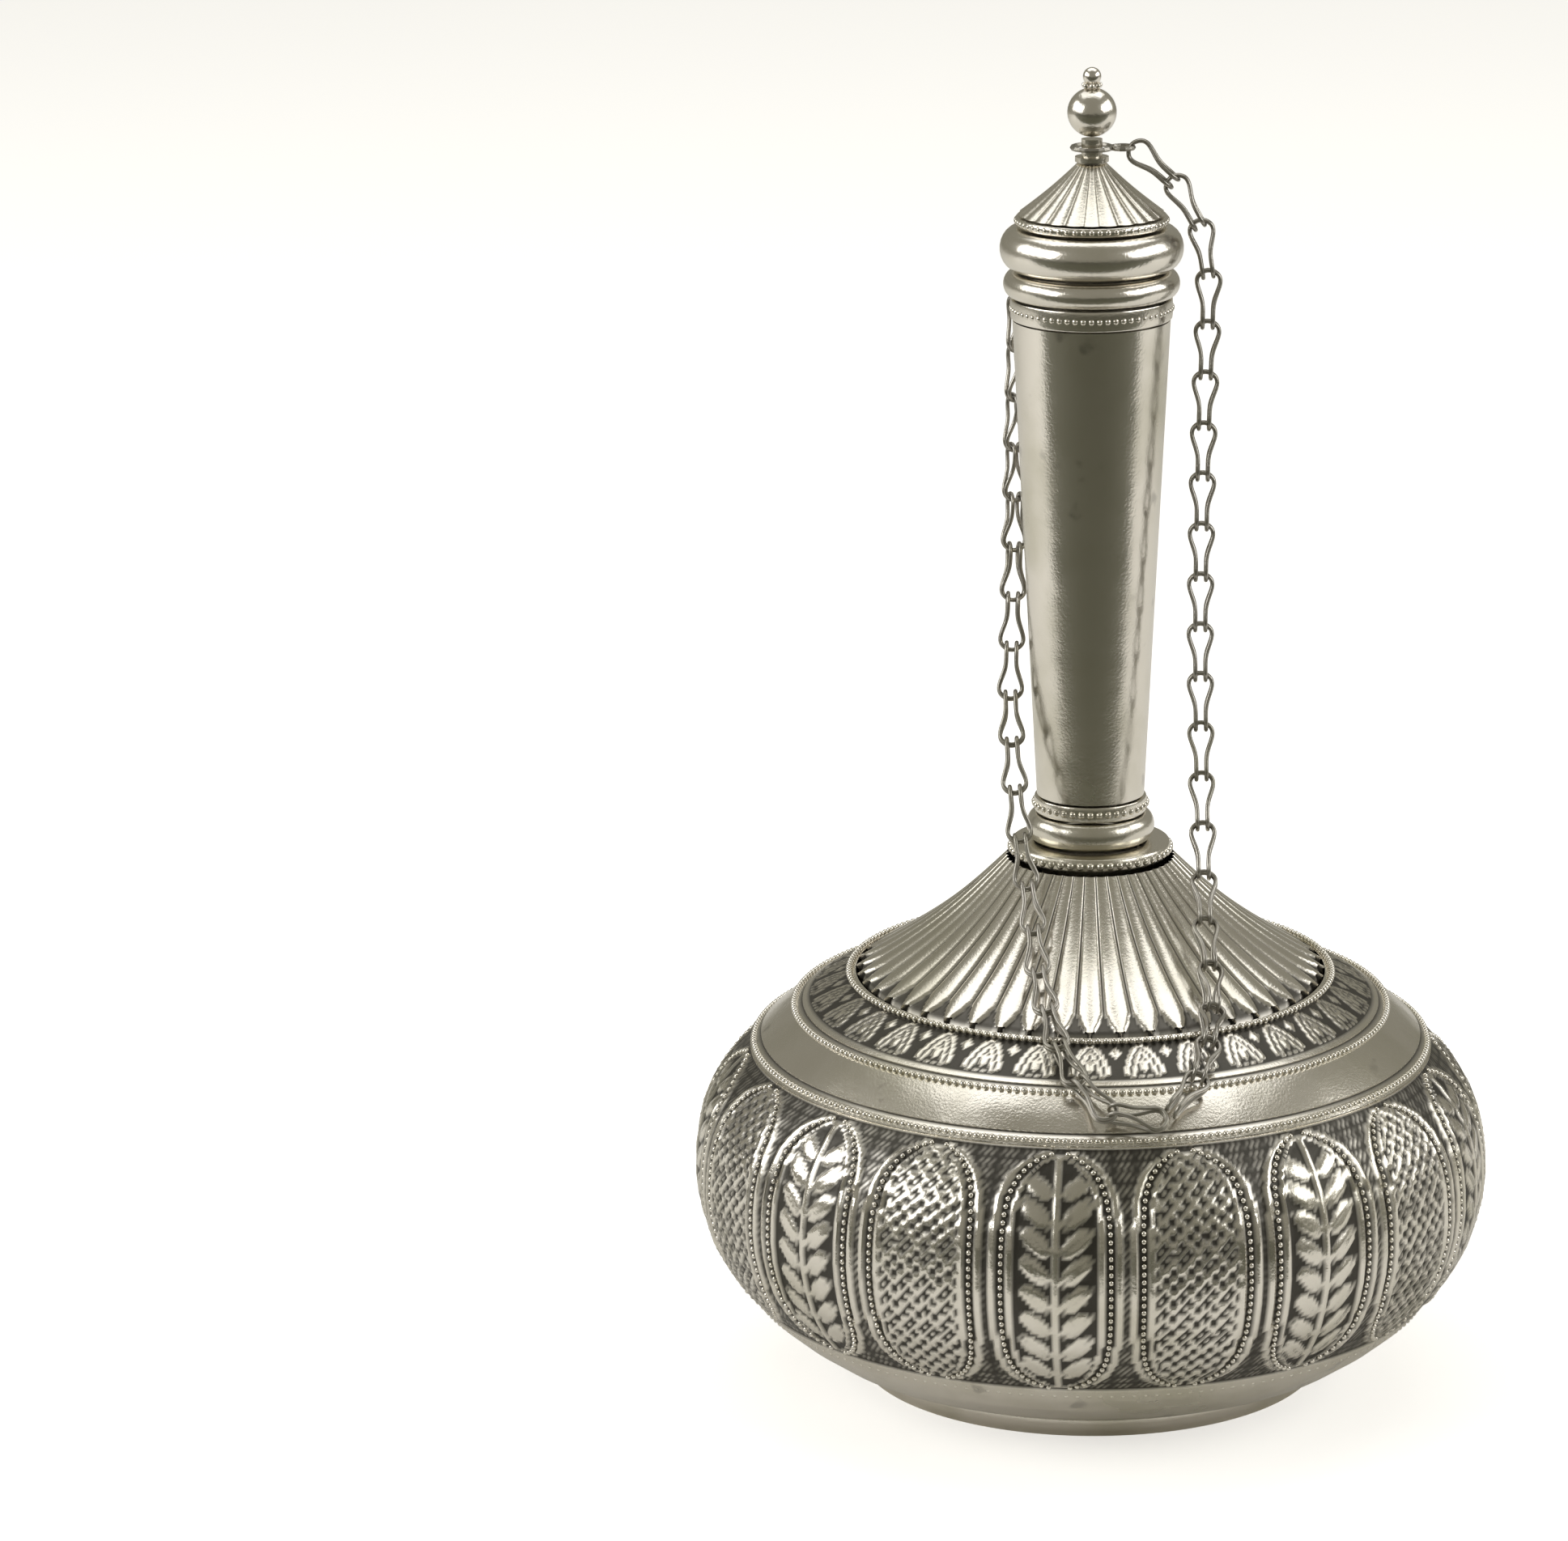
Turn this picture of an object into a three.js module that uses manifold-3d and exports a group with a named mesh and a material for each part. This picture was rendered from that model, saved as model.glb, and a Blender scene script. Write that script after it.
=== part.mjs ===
// A silver rosewater flask: squat bowl on a foot ring, fluted shoulder, tall tapering neck,
// and a domed cap held by a loop-in-loop chain. Millimetres, +Z up, origin under the foot.
import * as THREE from "three";
import { mergeVertices } from "three/addons/utils/BufferGeometryUtils.js";
import Module from "manifold-3d";

// Sheet and fits
const SHEET = 1.0;
const THIN_SHEET = 0.8;
const SEAM_GAP = 0.3;

// Foot and bowl
const FOOT_RADIUS = 34;
const FOOT_WIDTH = 2.5;
const FOOT_HEIGHT = 3;
const BOWL_RADIUS = 58.3;
const BOWL_WIDEST_HEIGHT = 30;
const BOWL_BASE_RADIUS = 36.5;
const SHOULDER_SEAM_RADIUS = 49.9;
const SHOULDER_SEAM_HEIGHT = 49;

// Shoulder and its fluted cone
const CONE_FOOT_RADIUS = 34;
const CONE_FOOT_HEIGHT = 60.4;
const CONE_TOP_RADIUS = 12.2;
const CONE_HEIGHT = 17;
const CONE_HOLLOW = 0.8;
const CONE_FLUTES = 48;
const CONE_FLUTE_DEPTH = 0.5;

// Collar, knop and neck
const NECK_BORE_RADIUS = 7;
const COLLAR_RADIUS = 12.1;
const COLLAR_HEIGHT = 2;
const KNOP_RADIUS = 9.3;
const KNOP_HEIGHT = 4;
const NECK_BEAD_RADIUS = 8.6;
const NECK_BEAD_HEIGHT = 2.2;
const NECK_LENGTH = 70;
const NECK_TOP_RADIUS = 11.3;

// Lip
const LIP_BEAD_RADIUS = 11.9;
const LIP_BEAD_HEIGHT = 2.8;
const LIP_RADIUS = 12.6;
const LIP_HEIGHT = 3.6;

// Cap
const SLEEVE_DEPTH = 12;
const SLEEVE_CLEARANCE = 0.55;
const CAP_RING_RADIUS = 13.1;
const CAP_RING_HEIGHT = 6;
const CAP_BEAD_RADIUS = 11;
const CAP_BEAD_HEIGHT = 1.3;
const DOME_RADIUS = 10.4;
const DOME_TOP_RADIUS = 2.1;
const DOME_HEIGHT = 7.2;
const DOME_HOLLOW = 0.9;
const DOME_FLUTES = 24;
const DOME_FLUTE_DEPTH = 0.35;

// Finial
const STEM_RADIUS = 1.5;
const STEM_FLANGE_RADIUS = 2.4;
const STEM_FLANGE_HEIGHT = 0.7;
const STEM_LENGTH = 3.2;
const BALL_RADIUS = 3.5;
const TIP_RADIUS = 1.3;

// Loose ring round the stem, and the eye on it
const RING_RADIUS = 2.8;
const RING_WIRE_RADIUS = 0.35;
const EYE_RADIUS = 1.55;

// Chain of folded links
const CHAIN_LINKS = 40;
const LINK_PITCH = 7.2;
const LINK_WIRE_RADIUS = 0.3;
const LINK_END_RADIUS = 1.7;
const LINK_STEM_HALF_WIDTH = 0.725;
const LINK_FOLD_RADIUS = 1.38;
const LINK_END_DEPTH = 0.34;
const LINK_PLAY = 0.2;
const CHAIN_STANDOFF = 2.3;
const FIRST_FREE_LINK = 22;

// Facets
const BODY_FACETS = 48;
const NECK_FACETS = 24;
const SMALL_FACETS = 20;
const WIRE_SIDES = 3;

// Places along the axis, each from the piece below it
const BOWL_BASE = FOOT_HEIGHT + SEAM_GAP;
const SHOULDER_BASE = SHOULDER_SEAM_HEIGHT + SEAM_GAP;
const SHOULDER_TOP = CONE_FOOT_HEIGHT - SEAM_GAP;
const COLLAR_BASE = CONE_FOOT_HEIGHT + CONE_HEIGHT + SEAM_GAP;
const KNOP_BASE = COLLAR_BASE + COLLAR_HEIGHT + SEAM_GAP;
const NECK_BEAD_BASE = KNOP_BASE + KNOP_HEIGHT + SEAM_GAP;
const NECK_BASE = NECK_BEAD_BASE + NECK_BEAD_HEIGHT + SEAM_GAP;
const NECK_TOP = NECK_BASE + NECK_LENGTH;
const LIP_BEAD_BASE = NECK_TOP + SEAM_GAP;
const LIP_BASE = LIP_BEAD_BASE + LIP_BEAD_HEIGHT + SEAM_GAP;
const LIP_TOP = LIP_BASE + LIP_HEIGHT;
const MOUTH_RADIUS = NECK_TOP_RADIUS - THIN_SHEET;
const SLEEVE_RADIUS = MOUTH_RADIUS - SLEEVE_CLEARANCE;
const CAP_RING_BASE = LIP_TOP + SEAM_GAP;
const CAP_RING_TOP = CAP_RING_BASE + CAP_RING_HEIGHT;
const CAP_BEAD_BASE = CAP_RING_TOP + SEAM_GAP;
const DOME_BASE = CAP_BEAD_BASE + CAP_BEAD_HEIGHT + SEAM_GAP;
const DOME_TOP = DOME_BASE + DOME_HEIGHT;
const STEM_BASE = DOME_TOP + SEAM_GAP;
const STEM_TOP = STEM_BASE + STEM_LENGTH;
const RING_HEIGHT = (STEM_BASE + STEM_FLANGE_HEIGHT + STEM_TOP) / 2;
const BALL_CENTRE = STEM_TOP + SEAM_GAP + BALL_RADIUS;
const TIP_CENTRE = BALL_CENTRE + BALL_RADIUS + SEAM_GAP + TIP_RADIUS;

const wasm = await Module();
wasm.setup();

const flask = new THREE.Group();
const cap = new THREE.Group();
flask.add(cap);

function silver(tone, roughness) {
  return new THREE.MeshStandardMaterial({ color: tone, roughness, metalness: 1 });
}

function addPiece(parent, name, geometry, tone = "#cfc9bd", roughness = 0.25) {
  const piece = new THREE.Mesh(geometry, silver(tone, roughness));
  piece.name = name;
  parent.add(piece);
  return piece;
}

// Turns an outline of { r, z } about Z. The outline climbs outside and comes down inside.
function turned(outline, facets) {
  const points = outline.map((point) => new THREE.Vector2(point.r, point.z));
  const geometry = new THREE.LatheGeometry(points, facets);
  geometry.rotateX(Math.PI / 2);
  return geometry;
}

// As turned, with hollow flutes cut in by each outline point's own depth.
function turnedWithFlutes(outline, flutes) {
  const geometry = turned(outline, flutes * 2);
  const place = geometry.attributes.position;
  for (let index = 0; index < place.count; index += 1) {
    const column = Math.floor(index / outline.length);
    const depth = outline[index % outline.length].flute ?? 0;
    if (column % 2 === 1 && depth > 0) {
      const radius = Math.hypot(place.getX(index), place.getY(index));
      const scale = (radius - depth) / radius;
      place.setX(index, place.getX(index) * scale);
      place.setY(index, place.getY(index) * scale);
    }
  }
  return geometry;
}

// The wall of a sheet, offset inwards from its outer outline. A free rim is cut level.
function insideOf(outline, sheet) {
  const last = outline.length - 1;
  return outline.map((point, index) => {
    const before = outline[Math.max(index - 1, 0)];
    const after = outline[Math.min(index + 1, last)];
    const along = new THREE.Vector2(after.r - before.r, after.z - before.z).normalize();
    const isRim = point.r > 0 && (index === 0 || index === last);
    if (isRim) {
      return { r: point.r - sheet / along.y, z: point.z };
    }
    return { r: Math.max(point.r - along.y * sheet, 0), z: point.z + along.x * sheet };
  });
}

function closedShell(outer, sheet) {
  const inner = insideOf(outer, sheet).reverse();
  return [...outer, ...inner, outer[0]];
}

// A hoop with a flat bore and a rounded outer face.
function hoopOutline(bore, radius, base, height, steps = 5) {
  const bulge = Math.min(height / 2, radius - bore - THIN_SHEET / 2);
  const outline = [{ r: bore, z: base }];
  for (let step = 0; step <= steps; step += 1) {
    const angle = -Math.PI / 2 + (Math.PI * step) / steps;
    const r = radius - bulge + bulge * Math.cos(angle);
    outline.push({ r, z: base + (height / 2) * (1 + Math.sin(angle)) });
  }
  outline.push({ r: bore, z: base + height }, { r: bore, z: base });
  return outline;
}

// A line from foot to top, drawn in at the middle by the hollow.
function hollowCone(footRadius, topRadius, base, height, hollow, fluteDepth, steps) {
  const outline = [];
  for (let step = 0; step <= steps; step += 1) {
    const share = step / steps;
    const sag = hollow * Math.sin(Math.PI * share);
    const r = footRadius + (topRadius - footRadius) * share - sag;
    outline.push({ r, z: base + height * share - sag, flute: fluteDepth * (1 - share / 2) });
  }
  return outline;
}

function footRing() {
  const inner = FOOT_RADIUS - FOOT_WIDTH;
  return turned([
    { r: inner, z: 0 },
    { r: FOOT_RADIUS, z: 0 },
    { r: FOOT_RADIUS + 0.4, z: FOOT_HEIGHT / 2 },
    { r: BOWL_BASE_RADIUS - 0.5, z: FOOT_HEIGHT },
    { r: BOWL_BASE_RADIUS - FOOT_WIDTH, z: FOOT_HEIGHT },
    { r: inner, z: 0 },
  ], BODY_FACETS);
}

function bowlOutline() {
  const rise = BOWL_WIDEST_HEIGHT - BOWL_BASE;
  const fall = SHOULDER_SEAM_HEIGHT - BOWL_WIDEST_HEIGHT;
  const outline = [{ r: 0, z: BOWL_BASE }, { r: BOWL_BASE_RADIUS, z: BOWL_BASE }];
  for (let step = 1; step <= 6; step += 1) {
    const angle = (Math.PI / 2) * (step / 6);
    const spread = Math.sin(angle) ** 0.9;
    const r = BOWL_BASE_RADIUS + (BOWL_RADIUS - BOWL_BASE_RADIUS) * spread;
    outline.push({ r, z: BOWL_BASE + rise * (1 - Math.cos(angle)) });
  }
  for (let step = 1; step <= 5; step += 1) {
    const share = step / 5;
    const r = BOWL_RADIUS - (BOWL_RADIUS - SHOULDER_SEAM_RADIUS) * share ** 2.1;
    outline.push({ r, z: BOWL_WIDEST_HEIGHT + fall * share });
  }
  return outline;
}

function bowl() {
  const outer = bowlOutline();
  const inner = insideOf(outer, SHEET).reverse();
  return turned([...outer, ...inner], BODY_FACETS);
}

function shoulderOutline() {
  const rim = CONE_FOOT_RADIUS + SEAM_GAP;
  const outline = [];
  for (let step = 0; step <= 4; step += 1) {
    const share = step / 4;
    const crown = 0.6 * Math.sin(Math.PI * share);
    const r = SHOULDER_SEAM_RADIUS + (rim - SHOULDER_SEAM_RADIUS) * share + crown;
    outline.push({ r, z: SHOULDER_BASE + (SHOULDER_TOP - SHOULDER_BASE) * share + crown });
  }
  return outline;
}

function coneOutline() {
  return hollowCone(CONE_FOOT_RADIUS, CONE_TOP_RADIUS, CONE_FOOT_HEIGHT, CONE_HEIGHT,
    CONE_HOLLOW, CONE_FLUTE_DEPTH, 4);
}

function domeOutline() {
  return hollowCone(DOME_RADIUS, DOME_TOP_RADIUS, DOME_BASE, DOME_HEIGHT,
    DOME_HOLLOW, DOME_FLUTE_DEPTH, 4);
}

function neckRadiusAt(height) {
  const foot = NECK_BORE_RADIUS + THIN_SHEET;
  const share = THREE.MathUtils.clamp((height - NECK_BASE) / NECK_LENGTH, 0, 1);
  return foot + (NECK_TOP_RADIUS - foot) * share;
}

function neckTube() {
  const steps = 3;
  const outer = [];
  for (let step = 0; step <= steps; step += 1) {
    const z = NECK_BASE + (NECK_LENGTH * step) / steps;
    outer.push({ r: neckRadiusAt(z), z });
  }
  const inner = outer.map(({ r, z }) => ({ r: r - THIN_SHEET, z })).reverse();
  return turned([...outer, ...inner, outer[0]], NECK_FACETS);
}

function capSleeve() {
  const base = LIP_TOP - SLEEVE_DEPTH;
  const top = CAP_RING_TOP;
  const bore = SLEEVE_RADIUS - THIN_SHEET;
  return turned([
    { r: bore, z: base },
    { r: SLEEVE_RADIUS, z: base },
    { r: SLEEVE_RADIUS, z: top },
    { r: bore, z: top },
    { r: bore, z: base },
  ], NECK_FACETS);
}

function finialStem() {
  const flangeTop = STEM_BASE + STEM_FLANGE_HEIGHT;
  return turned([
    { r: 0, z: STEM_BASE },
    { r: STEM_FLANGE_RADIUS, z: STEM_BASE },
    { r: STEM_FLANGE_RADIUS, z: flangeTop },
    { r: STEM_RADIUS, z: flangeTop },
    { r: STEM_RADIUS, z: STEM_TOP },
    { r: 0, z: STEM_TOP },
  ], SMALL_FACETS);
}

function ballAt(radius, centre, steps) {
  const outline = [];
  for (let step = 0; step <= steps; step += 1) {
    const angle = -Math.PI / 2 + (Math.PI * step) / steps;
    const onAxis = step === 0 || step === steps;
    outline.push({ r: onAxis ? 0 : radius * Math.cos(angle), z: centre + radius * Math.sin(angle) });
  }
  return turned(outline, SMALL_FACETS);
}

function toSolid(geometry) {
  const bare = geometry.clone();
  bare.deleteAttribute("normal");
  bare.deleteAttribute("uv");
  const merged = mergeVertices(bare, 1e-4);
  const vertProperties = new Float32Array(merged.attributes.position.array);
  const triVerts = new Uint32Array(merged.index.array);
  return new wasm.Manifold(new wasm.Mesh({ numProp: 3, vertProperties, triVerts }));
}

function toGeometry(solid) {
  const mesh = solid.getMesh();
  const geometry = new THREE.BufferGeometry();
  const place = new THREE.BufferAttribute(Float32Array.from(mesh.vertProperties), 3);
  geometry.setAttribute("position", place);
  geometry.setIndex(new THREE.BufferAttribute(Uint32Array.from(mesh.triVerts), 1));
  geometry.computeVertexNormals();
  return geometry;
}

// The loose ring lies level round the stem, with the chain's eye on its right.
function finialRing() {
  const ring = new THREE.TorusGeometry(RING_RADIUS, RING_WIRE_RADIUS, 6, 20);
  ring.translate(0, 0, RING_HEIGHT);
  const eye = new THREE.TorusGeometry(EYE_RADIUS, RING_WIRE_RADIUS, 6, 14);
  eye.translate(RING_RADIUS + EYE_RADIUS, 0, RING_HEIGHT);
  return toGeometry(toSolid(ring).add(toSolid(eye)));
}

// A closed wire that passes through its own listed points.
class WireLoop extends THREE.Curve {
  constructor(points) {
    super();
    this.points = points;
  }

  indexAt(share) {
    return Math.round(share * this.points.length) % this.points.length;
  }

  getPoint(share, target = new THREE.Vector3()) {
    return target.copy(this.points[this.indexAt(share)]);
  }

  getPointAt(share, target) {
    return this.getPoint(share, target);
  }

  getTangentAt(share, target = new THREE.Vector3()) {
    const count = this.points.length;
    const index = this.indexAt(share);
    const after = this.points[(index + 1) % count];
    const before = this.points[(index + count - 1) % count];
    return target.subVectors(after, before).normalize();
  }
}

// Distance from the middle of a link's round end to the next link's stems, when pulled tight.
const LINK_REACH = LINK_END_RADIUS - 2 * LINK_WIRE_RADIUS - LINK_PLAY;
const LINK_HOOK = Math.sqrt(LINK_REACH ** 2 - LINK_STEM_HALF_WIDTH ** 2);
const LINK_LENGTH = LINK_PITCH + LINK_END_RADIUS - LINK_HOOK;

// One quarter of a link, from the bottom of its fold to its round end. X is across, Y is
// depth and Z runs from the fold to the round end.
function linkQuarter(across, depth) {
  const half = Math.SQRT1_2;
  const fold = LINK_FOLD_RADIUS;
  const round = LINK_LENGTH - LINK_END_RADIUS;
  const pinch = LINK_LENGTH * 0.45;
  return [
    new THREE.Vector3(across * LINK_STEM_HALF_WIDTH, depth * fold * half, fold * (1 - half)),
    new THREE.Vector3(across * LINK_STEM_HALF_WIDTH, depth * fold, fold),
    new THREE.Vector3(across * (LINK_STEM_HALF_WIDTH + 0.1), depth * fold * 0.72, pinch),
    new THREE.Vector3(across * LINK_END_RADIUS, depth * LINK_END_DEPTH, round),
    new THREE.Vector3(across * LINK_END_RADIUS * half, depth * LINK_END_DEPTH,
      round + LINK_END_RADIUS * half),
  ];
}

function linkGeometry() {
  const foldRight = new THREE.Vector3(LINK_STEM_HALF_WIDTH, 0, 0);
  const foldLeft = new THREE.Vector3(-LINK_STEM_HALF_WIDTH, 0, 0);
  const frontEnd = new THREE.Vector3(0, LINK_END_DEPTH, LINK_LENGTH);
  const backEnd = new THREE.Vector3(0, -LINK_END_DEPTH, LINK_LENGTH);
  const points = [
    foldRight, ...linkQuarter(1, 1), frontEnd, ...linkQuarter(-1, 1).reverse(),
    foldLeft, ...linkQuarter(-1, -1), backEnd, ...linkQuarter(1, -1).reverse(),
  ];
  const wire = new THREE.TubeGeometry(new WireLoop(points), points.length,
    LINK_WIRE_RADIUS, WIRE_SIDES, true);
  wire.translate(0, 0, LINK_HOOK);
  return wire;
}

// Height of the shoulder under a chain that lies on it, and the way that it faces there.
function shoulderAt(radius) {
  const line = [...shoulderOutline(), ...coneOutline()];
  for (let index = 1; index < line.length; index += 1) {
    const low = line[index - 1];
    const high = line[index];
    if (radius <= low.r && radius >= high.r) {
      const share = (low.r - radius) / Math.max(low.r - high.r, 1e-6);
      const slope = (high.z - low.z) / Math.max(low.r - high.r, 1e-6);
      return { z: low.z + (high.z - low.z) * share, slope };
    }
  }
  const high = line[line.length - 1];
  return { z: high.z, slope: 0.8 };
}

function onShoulder(x, y) {
  const radius = Math.hypot(x, y);
  const { z, slope } = shoulderAt(radius);
  const face = new THREE.Vector3((slope * x) / radius, (slope * y) / radius, 1).normalize();
  const place = new THREE.Vector3(x, y, z).addScaledVector(face, CHAIN_STANDOFF);
  return { place, face };
}

function besideNeck(x, y, z, face = new THREE.Vector3(0, -1, 0)) {
  return { place: new THREE.Vector3(x, y, z), face };
}

// The chain's way from the eye down the right side, over the shoulder and up behind the neck.
function chainRoute() {
  const inward = new THREE.Vector3(0.72, -0.69, 0);
  return [
    besideNeck(RING_RADIUS + 2 * EYE_RADIUS, 0, RING_HEIGHT),
    besideNeck(9.9, -0.5, 178.4),
    besideNeck(14.4, -1.1, 172.8),
    besideNeck(16.4, -1.6, 165.5),
    besideNeck(16.5, -2, 157),
    besideNeck(16, -3, 140),
    besideNeck(15.7, -4.5, 115),
    besideNeck(15.9, -6.5, 95),
    besideNeck(16.1, -9.5, 86),
    besideNeck(16.3, -13.6, 78, new THREE.Vector3(0, -0.92, 0.38)),
    besideNeck(16.5, -19.2, 71.6, new THREE.Vector3(0, -0.76, 0.64)),
    onShoulder(16.8, -26),
    onShoulder(16.5, -31.5),
    onShoulder(15.8, -37.5),
    onShoulder(13.6, -43),
    onShoulder(10, -46.6),
    onShoulder(5.8, -47.8),
    onShoulder(1.6, -46.4),
    onShoulder(-1.8, -42.8),
    onShoulder(-4.2, -37.8),
    onShoulder(-5.8, -31.5),
    onShoulder(-7, -25),
    besideNeck(-8.4, -18.2, 74.4, new THREE.Vector3(0, -0.76, 0.64)),
    besideNeck(-9.6, -13.8, 80, new THREE.Vector3(0, -0.88, 0.48)),
    besideNeck(-10.6, -9.6, 87.2),
    besideNeck(-11.3, -5, 95),
    besideNeck(-11.6, 0, 102),
    besideNeck(-11.4, 3.4, 110),
    besideNeck(-11.2, 5.6, 118, new THREE.Vector3(0.15, -0.99, 0)),
    besideNeck(-11, 7.2, 127, new THREE.Vector3(0.31, -0.95, 0)),
    besideNeck(-10.9, 8.4, 137, new THREE.Vector3(0.47, -0.88, 0)),
    besideNeck(-10.7, 9.2, 146, new THREE.Vector3(0.6, -0.8, 0)),
    besideNeck(-10.5, 9.6, 155, inward),
    besideNeck(-10.5, 9.6, 164, inward),
  ];
}

// Links a pitch apart along the route, each between a near and a far pivot. The loop is open
// between the run that hangs from the cap and the run that stays with the flask.
function chainLinks() {
  const route = chainRoute();
  const way = new THREE.CatmullRomCurve3(route.map((stop) => stop.place), false, "catmullrom", 0.5);
  const faces = new THREE.CatmullRomCurve3(route.map((stop) => stop.face), false, "catmullrom", 0.5);
  const firstStep = LINK_END_RADIUS - LINK_WIRE_RADIUS - RING_WIRE_RADIUS - LINK_PLAY;
  const openStep = LINK_END_RADIUS - LINK_HOOK + 2 * LINK_WIRE_RADIUS + SEAM_GAP;
  const fineness = 1 / 6000;
  let share = 0;
  function walk(from, reach) {
    let place = from;
    while (share < 1 && place.distanceTo(from) < reach) {
      share = Math.min(share + fineness, 1);
      place = way.getPoint(share);
    }
    return { place, face: faces.getPoint(share).normalize() };
  }
  const links = [];
  let near = walk(way.getPoint(0), firstStep);
  for (let index = 1; index <= CHAIN_LINKS; index += 1) {
    const far = walk(near.place, LINK_PITCH);
    links.push({ near, far });
    near = index === FIRST_FREE_LINK - 1 ? walk(far.place, openStep) : far;
  }
  return links;
}

function placeLink(link, near, far) {
  const along = new THREE.Vector3().subVectors(near.place, far.place).normalize();
  const depth = near.face.clone().add(far.face).normalize();
  depth.addScaledVector(along, -depth.dot(along)).normalize();
  const across = new THREE.Vector3().crossVectors(depth, along);
  link.setRotationFromMatrix(new THREE.Matrix4().makeBasis(across, depth, along));
  link.position.copy(far.place);
}

// The chain's staple on the neck: a level half ring that the last link's fold hooks over.
function chainStaple(pivot) {
  const angle = Math.atan2(pivot.place.y, pivot.place.x);
  const height = pivot.place.z - LINK_HOOK - 2 * LINK_WIRE_RADIUS - LINK_PLAY;
  const reach = Math.hypot(pivot.place.x, pivot.place.y);
  const start = neckRadiusAt(height) + SEAM_GAP;
  const points = [
    new THREE.Vector3(start, -1.9, 0),
    new THREE.Vector3(reach - 0.9, -1.9, 0),
    new THREE.Vector3(reach - 0.2, -1.3, 0),
    new THREE.Vector3(reach, 0, 0),
    new THREE.Vector3(reach - 0.2, 1.3, 0),
    new THREE.Vector3(reach - 0.9, 1.9, 0),
    new THREE.Vector3(start, 1.9, 0),
  ];
  const section = new THREE.Shape();
  section.absarc(0, 0, RING_WIRE_RADIUS, 0, Math.PI * 2);
  const staple = new THREE.ExtrudeGeometry(section, {
    extrudePath: new THREE.CatmullRomCurve3(points), steps: 14, curveSegments: 6,
  });
  staple.rotateZ(angle);
  staple.translate(0, 0, height);
  return staple;
}

addPiece(flask, "foot_ring", footRing(), "#c9b48e", 0.3);
addPiece(flask, "bowl", bowl());
addPiece(flask, "shoulder", turned(closedShell(shoulderOutline(), SHEET), BODY_FACETS));
addPiece(flask, "shoulder_cone", turnedWithFlutes(closedShell(coneOutline(), SHEET), CONE_FLUTES));
addPiece(flask, "cone_collar",
  turned(hoopOutline(NECK_BORE_RADIUS, COLLAR_RADIUS, COLLAR_BASE, COLLAR_HEIGHT), NECK_FACETS));
addPiece(flask, "neck_knop",
  turned(hoopOutline(NECK_BORE_RADIUS, KNOP_RADIUS, KNOP_BASE, KNOP_HEIGHT), NECK_FACETS));
addPiece(flask, "neck_base_bead",
  turned(hoopOutline(NECK_BORE_RADIUS, NECK_BEAD_RADIUS, NECK_BEAD_BASE, NECK_BEAD_HEIGHT, 4),
    NECK_FACETS));
addPiece(flask, "neck_tube", neckTube());
addPiece(flask, "lip_bead",
  turned(hoopOutline(MOUTH_RADIUS, LIP_BEAD_RADIUS, LIP_BEAD_BASE, LIP_BEAD_HEIGHT, 4), NECK_FACETS));
addPiece(flask, "lip_ring",
  turned(hoopOutline(MOUTH_RADIUS, LIP_RADIUS, LIP_BASE, LIP_HEIGHT), NECK_FACETS));

addPiece(cap, "cap_sleeve", capSleeve());
addPiece(cap, "cap_ring",
  turned(hoopOutline(SLEEVE_RADIUS + SEAM_GAP, CAP_RING_RADIUS, CAP_RING_BASE, CAP_RING_HEIGHT),
    NECK_FACETS));
addPiece(cap, "cap_bead",
  turned(hoopOutline(SLEEVE_RADIUS - THIN_SHEET, CAP_BEAD_RADIUS, CAP_BEAD_BASE, CAP_BEAD_HEIGHT, 4),
    NECK_FACETS));
addPiece(cap, "cap_dome", turnedWithFlutes(closedShell(domeOutline(), THIN_SHEET), DOME_FLUTES));
addPiece(cap, "finial_stem", finialStem());
addPiece(cap, "finial_ball", ballAt(BALL_RADIUS, BALL_CENTRE, 8));
addPiece(cap, "finial_tip", ballAt(TIP_RADIUS, TIP_CENTRE, 6));
addPiece(cap, "finial_ring", finialRing(), "#8f8a80", 0.4);

const links = chainLinks();
const linkShape = linkGeometry();
links.forEach(({ near, far }, index) => {
  const number = index + 1;
  const parent = number < FIRST_FREE_LINK ? cap : flask;
  const link = addPiece(parent, `chain_link_${number}`, linkShape, "#7d786e", 0.45);
  placeLink(link, near, far);
});
addPiece(flask, "chain_staple", chainStaple(links[links.length - 1].far), "#8f8a80", 0.4);

export default flask;
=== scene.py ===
import bpy
import numpy as np
from mathutils import Matrix


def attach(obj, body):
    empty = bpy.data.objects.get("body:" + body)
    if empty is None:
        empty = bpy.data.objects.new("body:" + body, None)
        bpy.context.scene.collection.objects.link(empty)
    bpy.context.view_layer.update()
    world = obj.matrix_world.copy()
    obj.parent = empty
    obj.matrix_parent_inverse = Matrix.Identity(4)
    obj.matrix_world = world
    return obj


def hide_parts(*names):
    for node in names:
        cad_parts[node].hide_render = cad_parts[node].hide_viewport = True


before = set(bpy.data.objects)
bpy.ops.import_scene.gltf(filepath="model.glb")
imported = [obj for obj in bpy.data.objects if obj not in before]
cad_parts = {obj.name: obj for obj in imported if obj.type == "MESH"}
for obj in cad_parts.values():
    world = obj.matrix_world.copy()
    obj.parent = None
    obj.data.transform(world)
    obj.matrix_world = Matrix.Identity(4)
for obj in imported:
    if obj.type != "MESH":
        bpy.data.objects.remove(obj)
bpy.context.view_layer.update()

# Camera: the photographer's place in front of the flask, a little above it, with a long lens.
# The flask stands right of the middle, so the camera is turned a little to the left of it.
place = (0, -0.9084, 0.33892)
right = (0.99889, 0.0462, -0.01024)
up = (-0.00234, 0.2643, 0.9645)
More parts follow.
